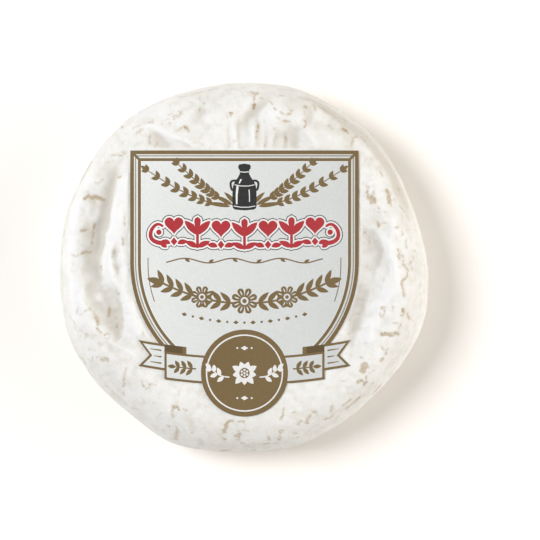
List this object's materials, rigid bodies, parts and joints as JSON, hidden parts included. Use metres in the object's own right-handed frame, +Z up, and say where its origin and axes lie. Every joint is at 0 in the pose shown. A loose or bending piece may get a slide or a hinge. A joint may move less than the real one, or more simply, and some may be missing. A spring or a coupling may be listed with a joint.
{
  "type": "camembert",
  "caption": "Whole soft cheese with a white bloomy rind and a shield-shaped paper label lying on its top face.",
  "frame": {"origin": "middle of the cheese's box, on the surface it rests on", "axes": "+Z up through the labelled top face, +Y towards the straight top edge of the label, +X to the label's right"},
  "size_m": [0.1102, 0.1108, 0.0293],
  "materials": {
    "rind": "matt white bloom with tan streaks",
    "paper": "satin silver-grey printed paper"
  },
  "bodies": {
    "root": {"cheese": "rind", "label": "paper"}
  },
  "joints": []
}
